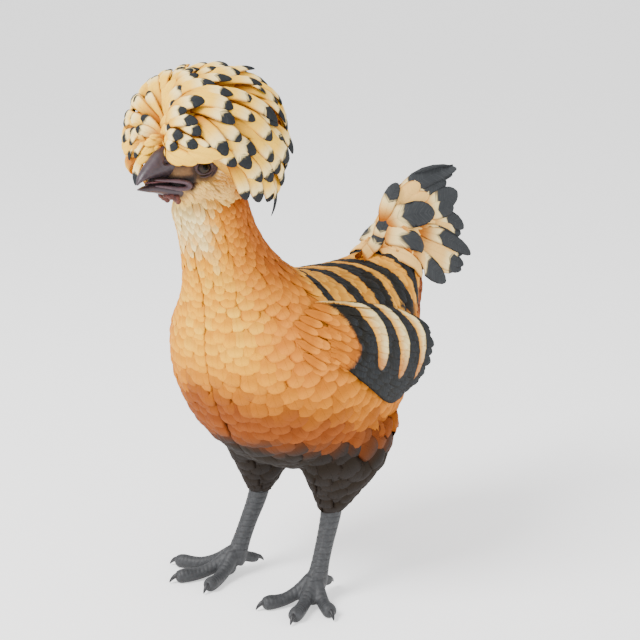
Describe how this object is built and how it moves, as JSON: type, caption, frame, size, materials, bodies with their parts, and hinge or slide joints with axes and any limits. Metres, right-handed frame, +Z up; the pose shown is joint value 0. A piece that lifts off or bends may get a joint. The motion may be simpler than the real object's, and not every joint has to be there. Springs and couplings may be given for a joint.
{
  "type": "polish crested hen, still life-size model",
  "caption": "Still, life-size standing hen with a globe crest of tipped feathers, folded barred wings, fanned tail and bare grey legs on flat toes.",
  "frame": {"origin": "on the floor under the middle of the bird's bounding box", "axes": "+Z up from the floor; the bird faces -Y and her left side is at +X"},
  "size_m": [0.1798, 0.3454, 0.4033],
  "materials": {
    "plumage": "matte",
    "plumage_dark": "matte",
    "rump_fluff": "matte",
    "crest_feathers": "matte",
    "wing_feathers": "matte",
    "tail_feathers": "matte",
    "horn": "satin",
    "leg_skin": "matte",
    "eye": "gloss",
    "wattle": "satin",
    "tongue": "satin"
  },
  "bodies": {
    "root": {"torso": "plumage", "neck": "plumage", "head": "plumage", "beak_upper": "horn", "beak_lower": "horn", "tongue": "tongue", "eye_left": "eye", "eye_right": "eye", "wattle_left": "wattle", "wattle_right": "wattle", "crest": "crest_feathers", "wing_left": "wing_feathers", "wing_right": "wing_feathers", "rump": "rump_fluff", "tail": "tail_feathers", "thigh_left": "plumage_dark", "shank_left": "leg_skin", "foot_left": "leg_skin", "claw_left_middle": "horn", "claw_left_inner": "horn", "claw_left_outer": "horn", "claw_left_back": "horn", "thigh_right": "plumage_dark", "shank_right": "leg_skin", "foot_right": "leg_skin", "claw_right_middle": "horn", "claw_right_inner": "horn", "claw_right_outer": "horn", "claw_right_back": "horn"}
  },
  "joints": []
}
